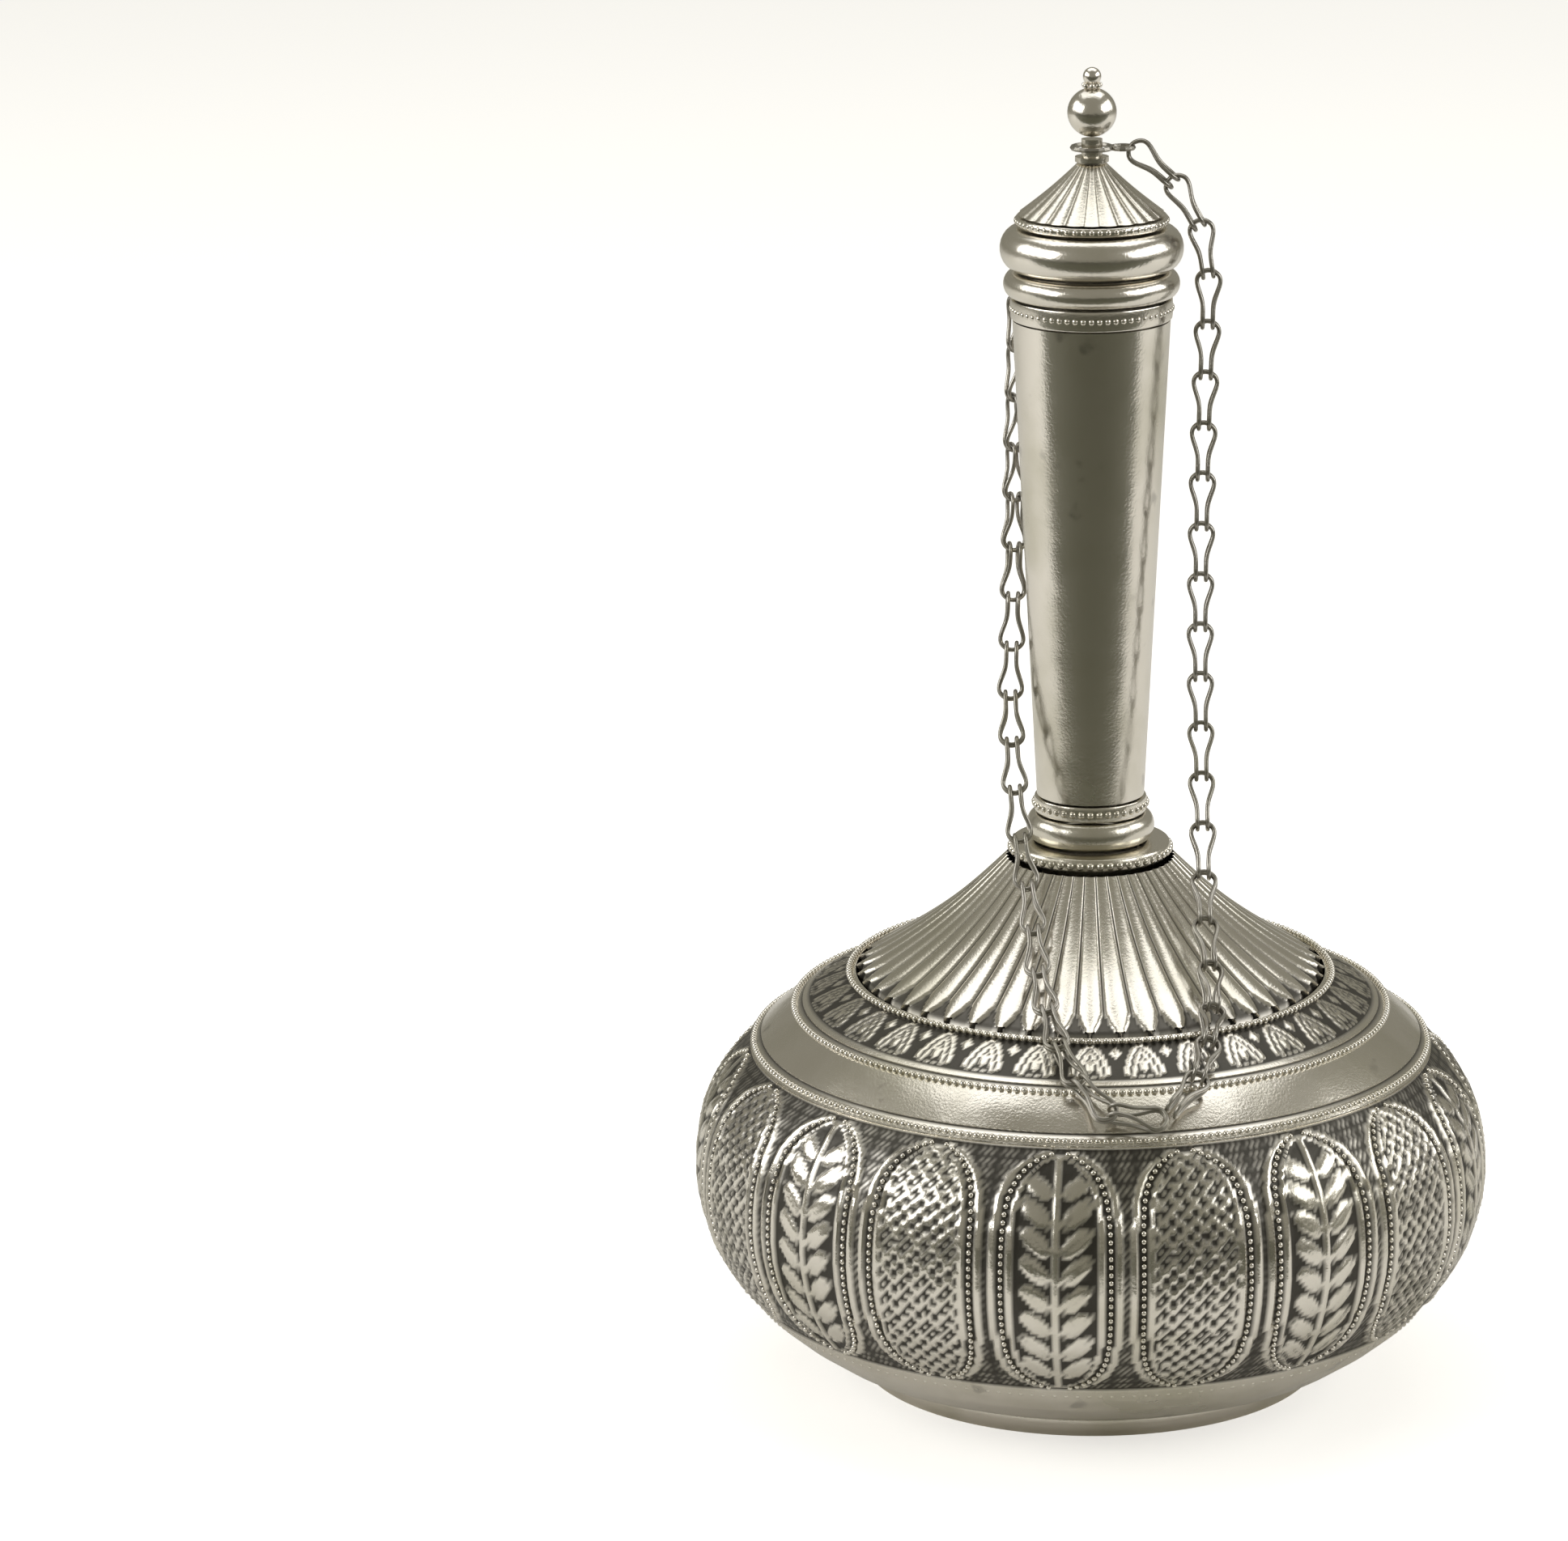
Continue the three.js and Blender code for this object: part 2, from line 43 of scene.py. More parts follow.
forward = (-0.04726, 0.96335, -0.2641)
bpy.ops.object.camera_add(location=place)
camera = bpy.context.object
camera.matrix_world = Matrix(
    [[right[i], up[i], -forward[i], place[i]] for i in range(3)] + [[0, 0, 0, 1]]
)
camera.data.lens = 148.7
camera.data.sensor_fit = "HORIZONTAL"
bpy.context.scene.camera = camera
bpy.context.scene.view_settings.view_transform = "Standard"


# Table: a pale, matt sheet under the flask that takes its soft shadow. It ends in front of the
# picture, where the darker floor that the front of the silver reflects begins.
def ground(name, size, middle, colour):
    """A level matt sheet, and its shader, in metres."""
    bpy.ops.object.select_all(action="DESELECT")
    bpy.ops.mesh.primitive_plane_add(size=size, location=middle)
    sheet = bpy.context.object
    sheet.name = name
    material = bpy.data.materials.new(name + "_surface")
    material.use_nodes = True
    shader = material.node_tree.nodes["Principled BSDF"]
    shader.inputs["Base Color"].default_value = colour
    shader.inputs["Roughness"].default_value = 0.9
    sheet.data.materials.append(material)
    return sheet, shader, material.node_tree


edge = -0.14
table, shader, tree = ground("table", 12, (0, edge + 6, 0), (0.86, 0.85, 0.83, 1))
floor, *_ = ground("floor", 6, (0, edge - 3, -0.002), (0.10, 0.10, 0.07, 1))
seen = tree.nodes.new("ShaderNodeLightPath")
glow = tree.nodes.new("ShaderNodeMath")
glow.operation = "MULTIPLY"
glow.inputs[1].default_value = 0.6
tree.links.new(seen.outputs["Is Camera Ray"], glow.inputs[0])
tree.links.new(glow.outputs[0], shader.inputs["Emission Strength"])
shader.inputs["Emission Color"].default_value = (1, 0.99, 0.97, 1)

# Light: two tall soft boxes at the sides and one above, in a dim room that the silver reflects.
# Each has its place, its turn, its width and height in metres and its watts.
for place, turn, width, height, watts in (
    ((-0.9, -0.25, 0.55), (0, -1.15, 0.2), 0.5, 1.1, 5),
    ((0.9, -0.15, 0.55), (0, 1.15, -0.1), 0.5, 1.1, 4),
    ((0, 0.35, 1.2), (-0.25, 0, 0), 1.4, 0.9, 5),
):
    bpy.ops.object.light_add(type="AREA", location=place, rotation=turn)
    lamp = bpy.context.object.data
    lamp.shape = "RECTANGLE"
    lamp.size, lamp.size_y, lamp.energy = width, height, watts
room = bpy.data.worlds.new("room")
room.use_nodes = True
room.node_tree.nodes["Background"].inputs["Color"].default_value = (0.50, 0.48, 0.40, 1)
room.node_tree.nodes["Background"].inputs["Strength"].default_value = 0.5
bpy.context.scene.world = room


# Foot ring: a low turned ring of sheet silver under the bowl. The silver and the turning defined
# here serve the other pieces too. Its recess mark is 1 in the hollows, which it paints black:
# partly tarnish where polish never reaches, partly painted shade.
def silver(name, colour, roughness, pits):
    """Worn silver: clouds of tarnish, grey patches, recesses painted black for tarnish and painted shade,
    fine pits, shallow dents.
    """
    material = bpy.data.materials.new(name)
    material.use_nodes = True
    nodes, links = material.node_tree.nodes, material.node_tree.links
    shader = nodes["Principled BSDF"]
    shader.inputs["Metallic"].default_value = 1
    coordinates = nodes.new("ShaderNodeTexCoord")

    def noise(scale, detail):
        node = nodes.new("ShaderNodeTexNoise")
        node.inputs["Scale"].default_value = scale
        node.inputs["Detail"].default_value = detail
        links.new(coordinates.outputs["Object"], node.inputs["Vector"])
        return node.outputs["Fac"]

    def mapped(value, low, high, first, last):
        node = nodes.new("ShaderNodeMapRange")
        limits = {"From Min": low, "From Max": high, "To Min": first, "To Max": last}
        for key, number in limits.items():
            node.inputs[key].default_value = number
        links.new(value, node.inputs["Value"])
        return node.outputs["Result"]

    def mixed(share, first, second):
        node = nodes.new("ShaderNodeMix")
        node.data_type = "RGBA"
        links.new(share, node.inputs["Factor"])
        for key, part in ((6, first), (7, second)):
            if isinstance(part, tuple):
                node.inputs[key].default_value = part + (1,)
            else:
                links.new(part, node.inputs[key])
        return node.outputs[2]

    def bumped(height, distance, strength, below=None):
        node = nodes.new("ShaderNodeBump")
        node.inputs["Distance"].default_value = distance
        node.inputs["Strength"].default_value = strength
        links.new(height, node.inputs["Height"])
        if below:
            links.new(below, node.inputs["Normal"])
        return node.outputs["Normal"]

    cloud, patch, grain = noise(60, 5), noise(140, 3), noise(2600, 2)
    # The recess mark blackens the hollows below: partly tarnish, partly painted shade.
    recess_tarnish_and_shade = nodes.new("ShaderNodeAttribute")
    recess_tarnish_and_shade.attribute_name = "recess_tarnish_and_shade"
    tarnish = (0.55 * colour[0], 0.55 * colour[1], 0.42 * colour[2])
    grey = (0.33, 0.31, 0.28)
    black = (0.02, 0.018, 0.014)
    metal = mixed(mapped(cloud, 0.45, 0.75, 0, 0.6), colour, tarnish)
    metal = mixed(mapped(patch, 0.66, 0.72, 0, 0.5), metal, grey)
    metal = mixed(recess_tarnish_and_shade.outputs["Fac"], metal, black)
    links.new(metal, shader.inputs["Base Color"])
    worn = nodes.new("ShaderNodeMath")
    worn.operation = "ADD"
    links.new(mapped(cloud, 0.3, 0.8, roughness, roughness + 0.16), worn.inputs[0])
    links.new(mapped(recess_tarnish_and_shade.outputs["Fac"], 0, 1, 0, 0.3), worn.inputs[1])
    links.new(worn.outputs[0], shader.inputs["Roughness"])
    pitted = bumped(grain, 0.0001, pits)
    links.new(bumped(noise(90, 2), 0.0006, 0.35, pitted), shader.inputs["Normal"])
    return material


bright = silver("warm_silver", (0.86, 0.82, 0.74), 0.16, 0.25)


def along(points, spacing):
    """The same path with points no more than the spacing apart, all in millimetres."""
    line = [points[0]]
    for start, end in zip(points, points[1:]):
        way = np.array(end) - np.array(start)
        steps = max(1, int(np.ceil(np.hypot(*way) / spacing)))
        line += [tuple(np.array(start) + way * step / steps) for step in range(1, steps + 1)]
    return line


def turned(name, body, section, columns, stands_for, relief=None, closed=True):
    """Turns a section of (radius, height) in millimetres. relief(angle, radius, height) gives
    the move outward in millimetres and the recess share at every point: the share of black,
    partly tarnish and partly painted shade. The angle is 0 at the front. A section that isn't
    closed starts and ends on the axis."""
    weld, crease = 0.000002, 0.9
    if closed:
        section = section + [section[0]]
    rows = len(section) - 1
    bpy.ops.object.select_all(action="DESELECT")
    bpy.ops.mesh.primitive_grid_add(x_subdivisions=columns, y_subdivisions=rows, size=2)
    piece = bpy.context.object
    piece.name = name
    mesh = piece.data
    points = np.empty(len(mesh.vertices) * 3)
    mesh.vertices.foreach_get("co", points)
    points = points.reshape(-1, 3)
    angle = (points[:, 0] + 1) * np.pi
    row = (points[:, 1] + 1) / 2 * rows
    line = np.array(section)
    radius = np.interp(row, np.arange(rows + 1), line[:, 0])
    height = np.interp(row, np.arange(rows + 1), line[:, 1])
    recess_tarnish_and_shade = np.zeros(len(points))
    if relief:
        move, recess_tarnish_and_shade = relief(angle, radius, height)
        radius = np.maximum(radius + move, 0)
    points[:, 0] = radius * np.sin(angle) / 1000
    points[:, 1] = -radius * np.cos(angle) / 1000
    points[:, 2] = height / 1000
    mesh.vertices.foreach_set("co", points.ravel())
    # The recess mark: black in the hollows for tarnish and painted shade.
    mesh.attributes.new("recess_tarnish_and_shade", "FLOAT", "POINT").data.foreach_set("value", recess_tarnish_and_shade)
    bpy.ops.object.mode_set(mode="EDIT")
    bpy.ops.mesh.select_all(action="SELECT")
    bpy.ops.mesh.remove_doubles(threshold=weld)
    bpy.ops.mesh.normals_make_consistent(inside=False)
    bpy.ops.object.mode_set(mode="OBJECT")
    bpy.ops.object.shade_smooth_by_angle(angle=crease)
    mesh.materials.append(bright)
    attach(piece, body)
    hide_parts(stands_for)


foot = [(34, 0), (34.2, 0.8), (34.2, 2.2), (34, 3), (31.5, 3), (31.5, 0)]
turned("foot_ring", "flask", along(foot, 0.6), 160, "foot_ring")

# Bowl: raised from sheet and chased with eighteen arched panels, foliage and netting by turns,
# each inside two raised lines and a row of beads, on a stippled ground darkened with tarnish and painted
# shade.
panels = 18
panel_pitch = 2 * np.pi / panels
panel_turn = 0.082
panel_length = 39.5
rise_heights = [13.3, 18.3, 23.3, 28.3, 33.3, 38.3, 43.3, 48.5]
rise_lengths = [0, 6.2, 11.7, 16.8, 21.8, 26.9, 32.5, panel_length]
relief_bottom, relief_top, relief_inside = 12.5, 48.8, 45


def panel_size(height, radius):
    """How far up a panel a height is, and half the panel's width there, in millimetres."""
    length = np.interp(height, rise_heights, rise_lengths)
    share = np.clip(length / panel_length * 2 - 1, -1, 1)
    return length, 0.47 * panel_pitch * radius * np.sqrt(np.maximum(1 - np.abs(share) ** 5, 0))


def ridge(distance, width):
    """A round ridge, 1 at its middle and 0 from the width on."""
    return np.clip(1 - (distance / width) ** 2, 0, 1) ** 0.5


def foliage(across, up):
    """A stem with eight pairs of veined leaves that point upward."""
    shape = ridge(across, 0.45)
    for side in (-1, 1):
        for row in range(8):
            x, y = side * across - 2.9, up - (5.5 + 4.1 * row)
            long, wide = 0.72 * x + 0.69 * y, -0.69 * x + 0.72 * y
            leaf = ridge(np.hypot(long / 3.1, wide / 1.35), 1)
            vein = 0.5 * ridge(wide, 0.25)
            shape = np.maximum(shape, leaf - vein * (leaf > 0))
    return shape


def netting(across, up):
    """Two sets of raised lines that cross on the slant."""
    spacing, half, width = 2.4, 1.2, 0.42
    falling, rising = (
        ridge(np.abs((across * side + up) % spacing - half) - half, width) for side in (-1, 1)
    )
    return 0.8 * np.maximum(falling, rising)


def bowl_relief(angle, radius, height):
    chased = (height > relief_bottom) & (height < relief_top) & (radius > relief_inside)
    turns = (angle + panel_turn) / panel_pitch
    number = np.round(turns)
    across = (turns - number) * panel_pitch * radius
    up, half = panel_size(height, radius)
    depth = half - np.abs(across)
    filling = np.where(number % 2 == 0, foliage(across, up), netting(across, up))
    lines = np.maximum(ridge(depth - 0.5, 0.55), ridge(depth - 2.9, 0.4))
    shape = np.where(depth > 3.5, filling, lines)
    stipple = 0.25 * np.sin(angle * 310) * np.sin(height * 5.1)
    shape = np.where(depth < 0, stipple, shape)
    shape = np.where(height < 13.6, ridge(height - 13, 0.4), shape)
    shape = np.where(chased, shape, 0)
    # The second value blackens the low ground: partly tarnish, partly painted shade.
    return 0.45 * (shape - 1) * chased, np.clip(0.95 - 2.4 * shape, 0, 0.92) * chased


wall = [
    (36.5, 3.3), (41.5, 5.4), (45.7, 8.3), (48.9, 11), (51.2, 13.6), (53.3, 16), (54.9, 18.5),
    (56.2, 21), (57.2, 24), (57.9, 27), (58.2, 30), (58.1, 33.3), (57.8, 36), (57.2, 38.6),
    (56.2, 41.2), (54.8, 43.6), (52.7, 46.3), (49.9, 49),
]
lining = [(r - 1, max(z, 4.3)) for r, z in reversed(wall)] + [(0, 4.3)]
section = along([(0, 3.3)] + wall, 0.62) + [(48.9, 49)] + along(lining, 3)
turned("bowl", "flask", section, 720, "bowl", bowl_relief, closed=False)


def beads(name, body, places, radius):
    """One mesh of small balls at places in millimetres. Each has the form of the added ball."""
    bpy.ops.object.select_all(action="DESELECT")
    bpy.ops.mesh.primitive_uv_sphere_add(segments=7, ring_count=5, radius=radius / 1000)
    piece = bpy.context.object
    piece.name = name
    ball = np.array([vertex.co for vertex in piece.data.vertices])
    faces = [list(face.vertices) for face in piece.data.polygons]
    points = (np.array(places)[:, None, :] / 1000 + ball[None, :, :]).reshape(-1, 3)
    starts = range(0, len(points), len(ball))
    mesh = bpy.data.meshes.new(name)
    mesh.from_pydata(points.tolist(), [], [[i + start for i in face] for start in starts for face in faces])
    piece.data = mesh
    bpy.ops.object.shade_smooth()
    mesh.materials.append(bright)
    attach(piece, body)


def bead_row(name, body, row_radius, height, radius, pitch=None):
    """A level ring of beads in millimetres, nearly touching unless a pitch is given."""
    count = int(2 * np.pi * row_radius / (pitch or 2.3 * radius))
    turns = np.arange(count) * 2 * np.pi / count
    places = [(row_radius * np.sin(turn), -row_radius * np.cos(turn), height) for turn in turns]
    beads(name, body, places, radius)


bead_pitch, bead_inset, bead_sink = 1.15, 1.7, 0.4
heights = np.linspace(13.7, 48.4, 1500)
radii = np.interp(heights, [z for r, z in wall], [r for r, z in wall])
half = panel_size(heights, radii)[1] - bead_inset
keep = half > 0.3
places = []
for panel in range(panels):
    for side in (-1, 1):
        turn = panel * panel_pitch - panel_turn + side * half[keep] / radii[keep]
        sunk = radii[keep] - bead_sink
        path = np.stack([sunk * np.sin(turn), -sunk * np.cos(turn), heights[keep]], 1)
        steps = np.linalg.norm(np.diff(path, axis=0), axis=1)
        walked = np.concatenate([[0], np.cumsum(steps)])
        wanted = np.arange(0.3, walked[-1], bead_pitch)
        places += [path[np.searchsorted(walked, length)] for length in wanted]
beads("panel_beads", "flask", places, 0.44)
bead_row("low_bead_row", "flask", 49.6, 12.1, 0.4, 1.6)


# Shoulder: a shallow ring soldered inside the bowl's edge, with a chased band of pointed leaves
# between rows of beads, and a plain polished band below it.
def shoulder_line(count):
    """The shoulder's outer line from its edge up to the cone."""
    steps = np.linspace(0, 1, count)
    crown = 0.6 * np.sin(np.pi * steps)
    return list(zip(49.9 - 15.6 * steps + crown, 49.3 + 10.8 * steps + crown))


def shoulder_relief(angle, radius, height):
    share = (49.9 - radius) / 15.6
    outside = height > 49.5 + 10.8 * share
    pitch = 2 * np.pi / 32
    across = ((angle / pitch + 0.5) % 1 - 0.5) * pitch * radius
    between = ((angle / pitch) % 1 - 0.5) * pitch * radius
    up = (share - 0.55) / 0.36
    half = 3.3 * np.sqrt(np.clip(1 - up, 0, 1)) * np.clip(up * 6 + 0.35, 0, 1)
    depth = half - np.abs(across)
    double_outline = np.maximum(ridge(depth - 0.35, 0.4), ridge(depth - 1.45, 0.35))
    seed = ridge(np.hypot(across / 0.5, (up - 0.35) / 0.22), 1)
    diamond = ridge(np.abs(between) / 0.8 + np.abs(up - 0.75) / 0.2, 1)
    leaves = np.maximum(np.maximum(double_outline, seed), diamond)
    lines = np.maximum(ridge((share - 0.5) * 19, 0.5), ridge((share - 0.06) * 19, 0.4))
    shape = np.where((up > 0) & (up < 1), leaves, lines)
    shape = np.where((share > 0.1) & (share < 0.46), 1, shape)
    # Black between the raised leaves and lines: partly tarnish, partly painted shade.
    recess_tarnish_and_shade = np.clip(0.9 - 2.2 * shape, 0, 0.9)
    return np.where(outside, 0.35 * (shape - 1), 0), np.where(outside, recess_tarnish_and_shade, 0)


over = shoulder_line(44)
under = [(r - 0.3, z - 1) for r, z in reversed(over[::8])]
turned("shoulder", "flask", over + under, 640, "shoulder", shoulder_relief)
bead_row("shoulder_bead_row_1", "flask", 49.3, 49.75, 0.5)
bead_row("shoulder_bead_row_2", "flask", 43.4, 55, 0.5)
bead_row("shoulder_bead_row_3", "flask", 35.3, 60, 0.5)


# Cone: a raised, ribbed skirt under the neck. Its forty-eight ribs end below in points that
# stand proud of the shoulder.
def cone_line(count):
    """The cone's outer line from its foot up to the collar."""
    steps = np.linspace(0, 1, count)
    sag = 0.8 * np.sin(np.pi * steps)
    return list(zip(34 - 21.8 * steps - sag, 60.4 + 17 * steps - sag))


def rib(angle, count, half=1):
    """Round ribs side by side: 1 on top of each and 0 beyond its half width."""
    across = (angle * count / (2 * np.pi) + 0.5) % 1 * 2 - 1
    return np.sqrt(np.clip(1 - (across / half) ** 2, 0, 1))


def cone_relief(angle, radius, height):
    share = np.clip((34 - radius) / 21.8, 0, 1)
    outside = height > 60.4 + 17 * share - 1.58
    half = np.clip(np.sqrt(np.clip(share / 0.16, 0, 1)), 0.02, 1)
    shape = rib(angle, 48, half)
    depth = 0.35 + 0.75 * (1 - share)
    # Black between the ribs: partly tarnish, partly painted shade.
    recess_tarnish_and_shade = np.clip(0.85 - 2.2 * shape, 0, 0.85)
    return np.where(outside, depth * (shape - 0.8), 0), np.where(outside, recess_tarnish_and_shade, 0)


over = cone_line(42)
under = [(r - 0.3, z - 1.5) for r, z in reversed(over[::8])]
turned("shoulder_cone", "flask", over + under, 576, "shoulder_cone", cone_relief)


# Neck's foot: a flat collar with beads, a plain rounded knop and a beaded band, threaded on the
# neck one over the other.
def hoop(name, body, radius, low, high, bore, bulge, stands_for):
    """A ring in millimetres whose outside swells by the bulge between its edges."""
    half = (high - low) / 2
    turns = np.linspace(-np.pi / 2, np.pi / 2, 14)
    outer = [
        (radius - bulge + bulge * np.cos(turn), low + half + half * np.sin(turn)) for turn in turns
    ]
    turned(name, body, outer + [(bore, high), (bore, low)], 128, stands_for)


hoop("cone_collar", "flask", 11.7, 77.7, 79.7, 8.3, 0.4, "cone_collar")
bead_row("collar_beads", "flask", 11.5, 78.7, 0.62)
hoop("neck_knop", "flask", 9.3, 80, 84, 7.9, 1.3, "neck_knop")
hoop("neck_base_band", "flask", 8.2, 84.3, 86.5, 7.3, 0.15, "neck_base_bead")
bead_row("neck_base_beads", "flask", 8.05, 85.4, 0.55)

# Neck: a long tube of sheet, 0.8 mm thick, that widens upward, bright and lightly pitted.
outer = [(7.8 + 3.5 * step, 86.8 + 70 * step) for step in np.linspace(0, 1, 40)]
turned("neck_tube", "flask", outer + [(r - 0.8, z) for r, z in reversed(outer)], 128, "neck_tube")

# Mouth: a flat band with a bead row under a rounded lip, where the cap sits down.
hoop("lip_band", "flask", 11.6, 157.1, 159.9, 10.6, 0.1, "lip_bead")
bead_row("lip_beads", "flask", 11.35, 158.5, 0.5)
hoop("lip_ring", "flask", 12.6, 160.2, 163.8, 10.6, 1.5, "lip_ring")

# Cap: a plain sleeve that goes into the neck, a round ring, a bead row and a dome with
# twenty-four ribs that run together at its top.
sleeve = along([(9.95, 151.8), (9.95, 170.1), (9.15, 170.1), (9.15, 151.8)], 1.5)
turned("cap_sleeve", "cap", sleeve, 96, "cap_sleeve")
hoop("cap_ring", "cap", 13.1, 164.1, 170.1, 10, 2.4, "cap_ring")
hoop("cap_band", "cap", 10.9, 170.4, 171.7, 8.4, 0.3, "cap_bead")
bead_row("cap_beads", "cap", 10.6, 171.1, 0.5)


def dome_relief(angle, radius, height):
    share = np.clip((height - 172) / 7.2, 0, 1)
    outside = radius > 10.4 - 8.3 * share - 0.55
    shape = rib(angle, 24)
    # Black between the dome's ribs: partly tarnish, partly painted shade.
    recess_tarnish_and_shade = np.clip(0.8 - 2.4 * shape, 0, 0.8)
    move = 0.7 * (1 - 0.7 * share) * (shape - 0.8)
    return np.where(outside, move, 0), np.where(outside, recess_tarnish_and_shade, 0)


steps = np.linspace(0, 1, 26)
over = list(zip(10.4 - 8.3 * steps - 0.3 * np.sin(np.pi * steps), 172 + 7.2 * steps))
under = [(r - 0.9, z) for r, z in reversed(over[::5])]
turned("cap_dome", "cap", over + under, 360, "cap_dome", dome_relief)

# Finial: a flanged stem, a ball and a small knob on top, with beads round its foot.
stem = [(0, 179.5), (2.4, 179.5), (2.4, 180.2), (1.5, 180.3), (1.5, 182.7), (0, 182.7)]
turned("finial_stem", "cap", stem, 48, "finial_stem", closed=False)
for name, radius, centre in (("finial_ball", 3.5, 186.5), ("finial_tip", 1.3, 191.6)):
    turns = np.linspace(-np.pi / 2, np.pi / 2, 24)[1:-1]
    outer = [(radius * np.cos(turn), centre + radius * np.sin(turn)) for turn in turns]
    section = [(0, centre - radius)] + outer + [(0, centre + radius)]
    turned(name, "cap", section, 48, name, closed=False)
bead_row("finial_beads", "cap", 1.1, 190.35, 0.42)

# Chain: loops of round wire, pinched in the middle and folded, each fold hooked through both
# round ends of the next link. Links 1 to 21 hang from the cap, the rest stay with the flask.
dark = silver("dark_silver_wire", (0.42, 0.40, 0.36), 0.28, 0.4)


def between_points(a, b, c, d, share):
    """The smooth curve from b to c, with a before and d after them."""
    return 0.5 * (
        2 * b
        + (c - a) * share
        + (2 * a - 5 * b + 4 * c - d) * share ** 2
        + (3 * b - a - 3 * c + d) * share ** 3
    )


def spread(points, count):
    """Points evenly spaced along a closed smooth path through the given ones."""
    points = np.array(points, float)
    fine = []
    for i in range(len(points)):
        near_points = [points[(i + k) % len(points)] for k in (-1, 0, 1, 2)]
        fine += [between_points(*near_points, share) for share in np.arange(12) / 12]
    fine = np.array(fine + [fine[0]])
    walked = np.concatenate([[0], np.cumsum(np.linalg.norm(np.diff(fine, axis=0), axis=1))])
    wanted = np.arange(count) * walked[-1] / count
    return np.stack([np.interp(wanted, walked, fine[:, k]) for k in range(3)], 1)


def wire(name, body, path, radius):
    """A closed round wire along a path in metres: a curve that is turned into a mesh."""
    bpy.ops.object.select_all(action="DESELECT")
    bpy.ops.curve.primitive_bezier_circle_add()
    piece = bpy.context.object
    piece.name = name
    piece.data.splines.clear()
    spline = piece.data.splines.new("NURBS")
    spline.points.add(len(path) - 1)
    for point, place in zip(spline.points, path):
        point.co = (*place, 1)
    spline.use_cyclic_u = True
    spline.order_u = 4
    spline.resolution_u = 3
    piece.data.dimensions = "3D"
    piece.data.bevel_depth = radius
    piece.data.bevel_resolution = 2
    bpy.ops.object.convert(target="MESH")
    piece = bpy.context.object
    bpy.ops.object.shade_smooth()
    piece.data.materials.clear()
    piece.data.materials.append(dark)
    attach(piece, body)
    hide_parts(name)


# A quarter of a link from its fold to the top of one round end, as (across, depth, up).
pinch, fold, end, lean, tall = 0.725, 1.38, 1.7, 0.34, 8.3667
quarter = [
    (pinch, 0, 0), (pinch, fold * 0.707, fold * 0.293), (pinch, fold, fold),
    (pinch + 0.1, 0.72 * fold, 0.45 * tall), (end, lean, tall - end),
    (0.707 * end, lean, tall - 0.293 * end), (0, lean, tall),
]
front = quarter + [(-x, y, z) for x, y, z in reversed(quarter[:-1])]
link = spread(front + [(-x, -y, z) for x, y, z in front[1:-1]], 64)
link[:, 2] += 0.5333 - 0.3

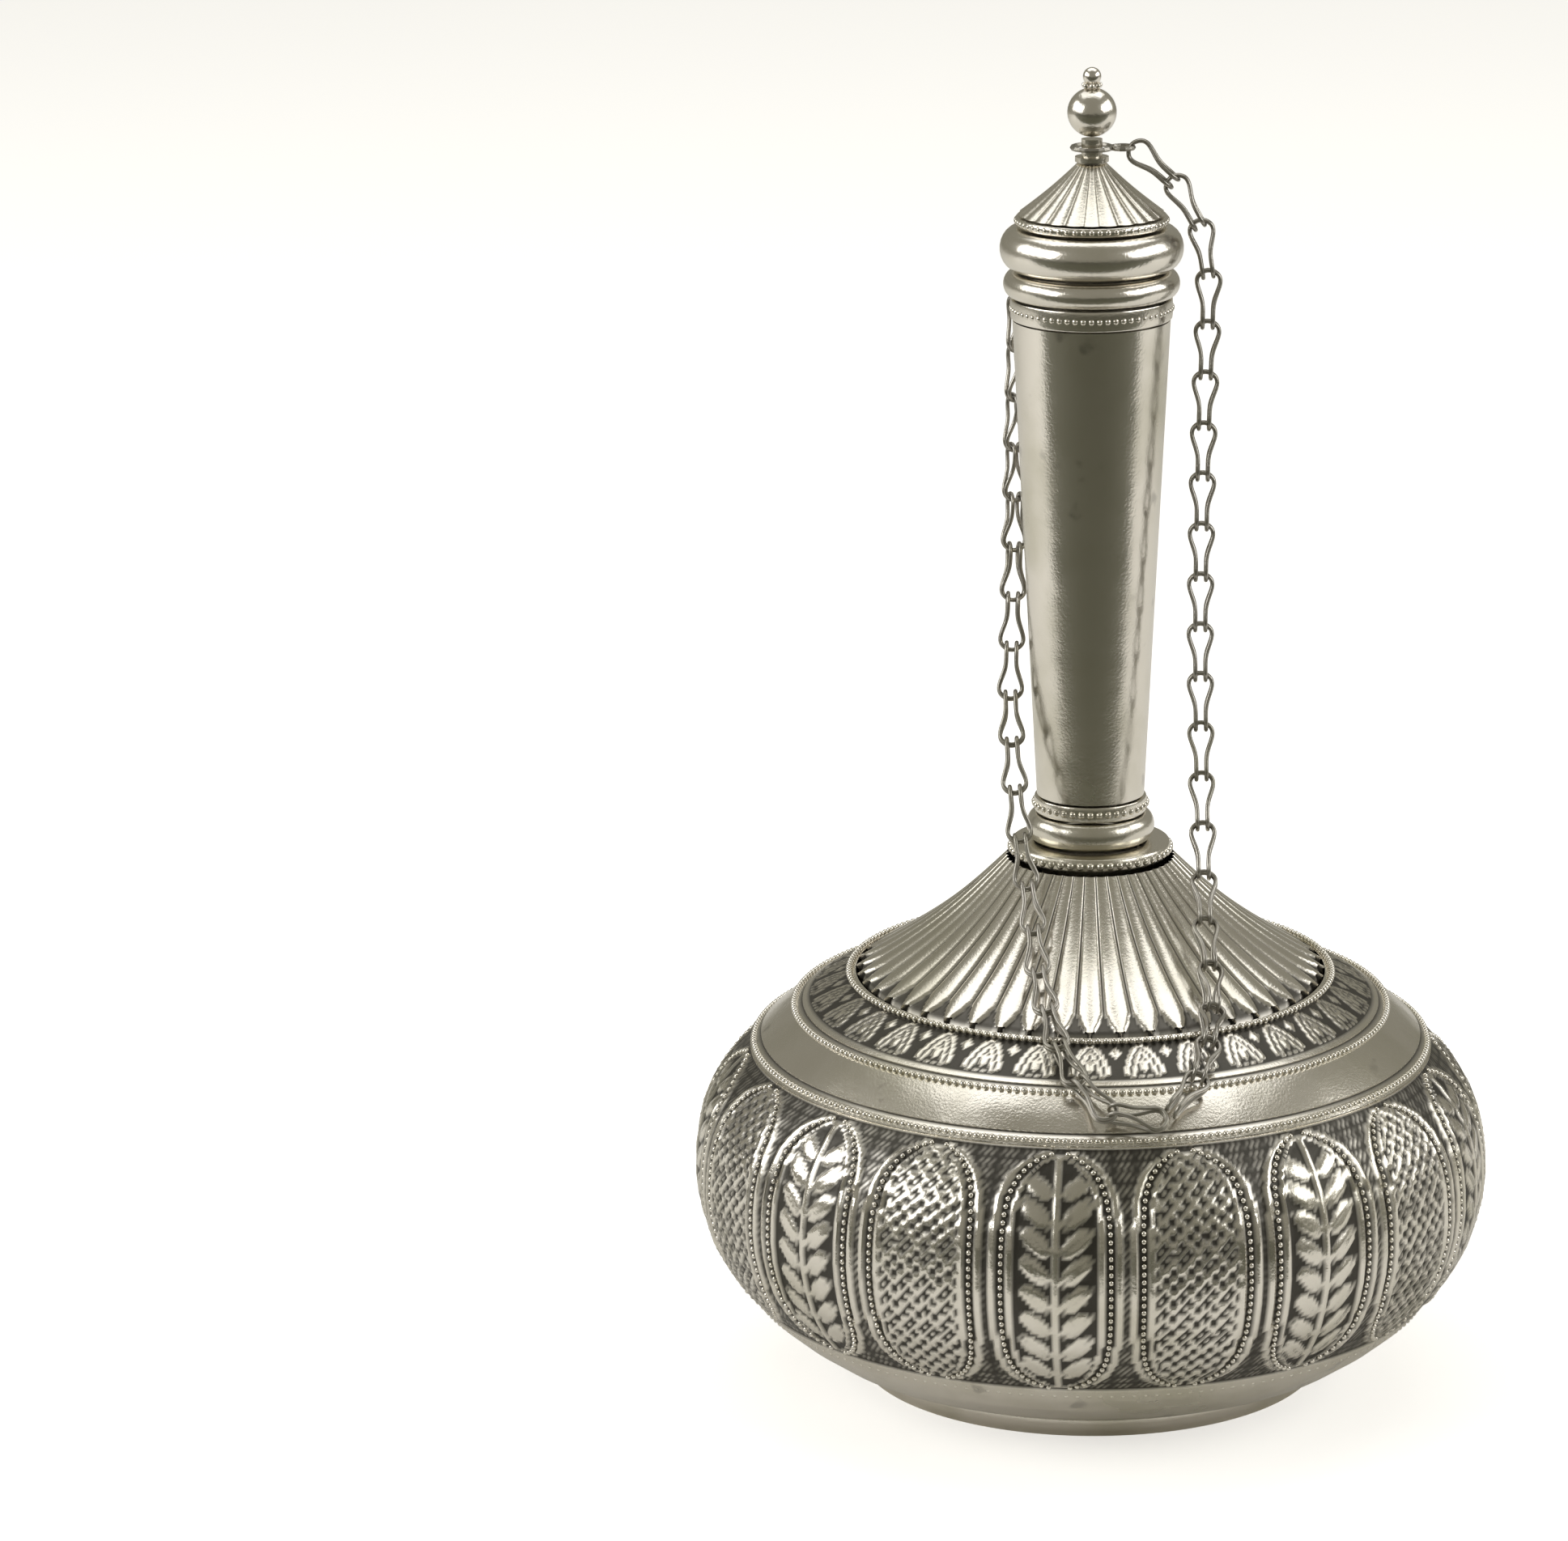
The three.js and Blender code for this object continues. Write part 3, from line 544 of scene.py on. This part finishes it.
# The chain's way from the cap down to the shoulder and up behind the neck. A stop with two
# numbers lies on the shoulder. Others say their height, and the way they face if not forward.
route = [
    (5.9, 0, 181.45), (9.9, -0.5, 178.4), (14.4, -1.1, 172.8), (16.4, -1.6, 165.5),
    (16.5, -2, 157), (16, -3, 140), (15.7, -4.5, 115), (15.9, -6.5, 95), (16.1, -9.5, 86),
    (16.3, -13.6, 78, 0, -0.92, 0.38), (16.5, -19.2, 71.6, 0, -0.76, 0.64), (16.8, -26),
    (16.5, -31.5), (15.8, -37.5), (13.6, -43), (10, -46.6), (5.8, -47.8), (1.6, -46.4),
    (-1.8, -42.8), (-4.2, -37.8), (-5.8, -31.5), (-7, -25), (-8.4, -18.2, 74.4, 0, -0.76, 0.64),
    (-9.6, -13.8, 80, 0, -0.88, 0.48), (-10.6, -9.6, 87.2), (-11.3, -5, 95), (-11.6, 0, 102),
    (-11.4, 3.4, 110), (-11.2, 5.6, 118, 0.15, -0.99, 0), (-11, 7.2, 127, 0.31, -0.95, 0),
    (-10.9, 8.4, 137, 0.47, -0.88, 0), (-10.7, 9.2, 146, 0.6, -0.8, 0),
    (-10.5, 9.6, 155, 0.72, -0.69, 0), (-10.5, 9.6, 164, 0.72, -0.69, 0),
]
surface = np.array(shoulder_line(5) + cone_line(5))
standoff = 2.3
stops = []
for stop in route:
    if len(stop) == 2:
        radius = np.hypot(*stop)
        part = int(np.argmax((surface[1:, 0] <= radius) & (surface[:-1, 0] >= radius)))
        (low_radius, low_height), (high_radius, high_height) = surface[part : part + 2]
        slope = (high_height - low_height) / max(low_radius - high_radius, 1e-6)
        height = low_height + (low_radius - radius) * slope
        face = np.array([slope * stop[0] / radius, slope * stop[1] / radius, 1])
        face = face / np.linalg.norm(face)
        stops.append(np.concatenate([np.array([*stop, height]) + standoff * face, face]))
    elif len(stop) == 3:
        stops.append(np.array(stop + (0, -1, 0), float))
    else:
        stops.append(np.array(stop, float))
stops = np.array([2 * stops[0] - stops[1]] + stops + [2 * stops[-1] - stops[-2]])
shares = np.linspace(0, len(route) - 1, 6001)
index = np.minimum(shares.astype(int), len(route) - 2)
way = between_points(*(stops[index + k] for k in range(4)), (shares - index)[:, None])


def walk(start, reach):
    """The first point of the way that lies the reach away from the start."""
    far_enough = np.linalg.norm(way[start:, :3] - way[start, :3], axis=1) >= reach
    return start + int(np.argmax(far_enough))


links, last_hanging, pitch, first_step, open_step = 40, 21, 7.2, 0.85, 2.067
near = walk(0, first_step)
for number in range(1, links + 1):
    far = walk(near, pitch)
    along_link = way[near, :3] - way[far, :3]
    along_link /= np.linalg.norm(along_link)
    depth = sum(way[i, 3:] / np.linalg.norm(way[i, 3:]) for i in (near, far))
    depth -= along_link * depth.dot(along_link)
    depth /= np.linalg.norm(depth)
    across = np.cross(depth, along_link)
    path = way[far, :3] + link @ np.array([across, depth, along_link])
    body = "ring_and_chain" if number <= last_hanging else "flask"
    wire("chain_link_%d" % number, body, (path / 1000).tolist(), 0.0003)
    near = walk(far, open_step) if number == last_hanging else far

# Finial ring and staple: they keep their shape from the frame and take the dark wire's finish.
for node in ("finial_ring", "chain_staple"):
    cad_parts[node].data.materials.clear()
    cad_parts[node].data.materials.append(dark)
